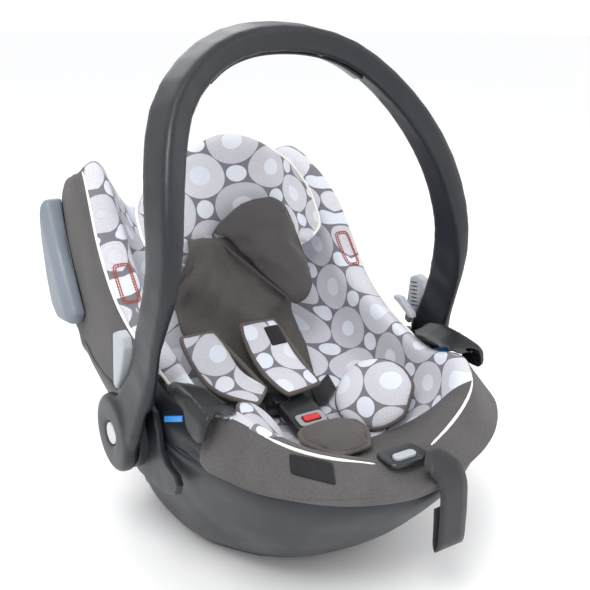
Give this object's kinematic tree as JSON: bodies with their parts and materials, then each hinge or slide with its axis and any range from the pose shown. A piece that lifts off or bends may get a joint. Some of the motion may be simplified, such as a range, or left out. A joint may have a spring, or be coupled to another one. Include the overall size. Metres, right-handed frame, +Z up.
{
  "type": "infant car seat",
  "caption": "Rear-facing infant carrier with rocker shell, folding carry handle, sliding headrest, padded lining, harness with central adjuster, belt guides and side-impact blocks.",
  "frame": {"origin": "On the flat sole of the shell, on the middle plane, where the seat rests.", "axes": "+Z up, -Y towards the foot end, +X towards the child's left; the seat is mirrored about X=0 apart from a few soft pieces."},
  "size_m": [0.448, 0.6263, 0.6019],
  "materials": {
    "shell_plastic": "satin charcoal, fine moulded grain",
    "black_plastic": "semi-gloss black",
    "taupe_fabric": "fine melange weave",
    "pattern_fabric": "woven print of large and small circles",
    "jersey": "smooth knitted jersey",
    "webbing": "tight herringbone webbing",
    "steel": "brushed",
    "silver_plastic": "brushed silver",
    "foam": "expanded bead foam",
    "light_plastic": "light grey, satin",
    "block_plastic": "blue-grey, satin",
    "blue_plastic": "bright blue guide",
    "red_plastic": "red push button"
  },
  "bodies": {
    "seat": {"outer_shell": "shell_plastic", "foam_liner": "foam", "seat_liner": "pattern_fabric", "hugger_wing_left": "pattern_fabric", "hugger_wing_right": "pattern_fabric", "shoulder_pad_left": "pattern_fabric", "shoulder_pad_right": "pattern_fabric", "foot_skirt": "taupe_fabric", "head_cover": "taupe_fabric", "back_insert": "taupe_fabric", "crotch_pad": "taupe_fabric", "base_lock_bar_front": "steel", "base_lock_bar_rear": "steel", "pivot_pin_left": "steel", "pivot_pin_right": "steel", "splitter_plate": "steel", "hub_housing_left": "black_plastic", "hub_housing_right": "black_plastic", "belt_hood_left": "black_plastic", "belt_hood_right": "black_plastic", "headrest_guide": "black_plastic", "buckle_housing": "black_plastic", "buckle_tongue_left": "black_plastic", "buckle_tongue_right": "black_plastic", "adjuster_housing": "black_plastic", "canopy_clip_left": "light_plastic", "canopy_clip_right": "light_plastic", "buckle_cover": "light_plastic", "side_impact_block_left": "block_plastic", "side_impact_block_right": "block_plastic", "belt_guide_left": "blue_plastic", "belt_guide_right": "blue_plastic", "crotch_strap": "webbing", "shoulder_strap_left": "webbing", "shoulder_strap_right": "webbing", "lap_strap_left": "webbing", "lap_strap_right": "webbing", "adjuster_strap": "webbing"},
    "handle": {"handle_bow": "shell_plastic", "grip_strip": "black_plastic"},
    "headrest": {"headrest_shell": "shell_plastic", "headrest_pad": "pattern_fabric", "head_pillow": "jersey"},
    "buckle_button": {"buckle_button": "red_plastic"},
    "adjuster_button": {"adjuster_button": "light_plastic"},
    "pivot_button_left": {"pivot_button_left": "silver_plastic"},
    "release_lever_left": {"release_lever_left": "light_plastic"},
    "pivot_button_right": {"pivot_button_right": "silver_plastic"},
    "release_lever_right": {"release_lever_right": "light_plastic"}
  },
  "joints": [
    {"name": "handle_fold", "type": "hinge", "parent": "seat", "child": "handle", "pos_m": [0, -0.028, 0.154], "axis": [1, 0, 0], "range_deg": [-32, 100]},
    {"name": "headrest_slide", "type": "slide", "parent": "seat", "child": "headrest", "axis": [0, 0.6198, 0.7848], "range_m": [0, 0.09], "deforming": ["back_insert"]},
    {"name": "buckle_press", "type": "slide", "parent": "seat", "child": "buckle_button", "axis": [0, 0.2955, -0.9553], "range_m": [0, 0.002], "stiffness_N_per_m": 900, "springref_m": -0.001},
    {"name": "adjuster_press", "type": "slide", "parent": "seat", "child": "adjuster_button", "axis": [0, 0, -1], "range_m": [0, 0.003], "stiffness_N_per_m": 900, "springref_m": -0.001},
    {"name": "pivot_press_left", "type": "slide", "parent": "handle", "child": "pivot_button_left", "axis": [-1, 0, 0], "range_m": [0, 0.004], "stiffness_N_per_m": 1200, "springref_m": -0.001},
    {"name": "lever_squeeze_left", "type": "slide", "parent": "handle", "child": "release_lever_left", "axis": [0, -0.27, 0.9629], "range_m": [0, 0.008], "stiffness_N_per_m": 900, "springref_m": -0.002},
    {"name": "pivot_press_right", "type": "slide", "parent": "handle", "child": "pivot_button_right", "axis": [1, 0, 0], "range_m": [0, 0.004], "stiffness_N_per_m": 1200, "springref_m": -0.001},
    {"name": "lever_squeeze_right", "type": "slide", "parent": "handle", "child": "release_lever_right", "axis": [0, -0.27, 0.9629], "range_m": [0, 0.008], "stiffness_N_per_m": 900, "springref_m": -0.002}
  ]
}
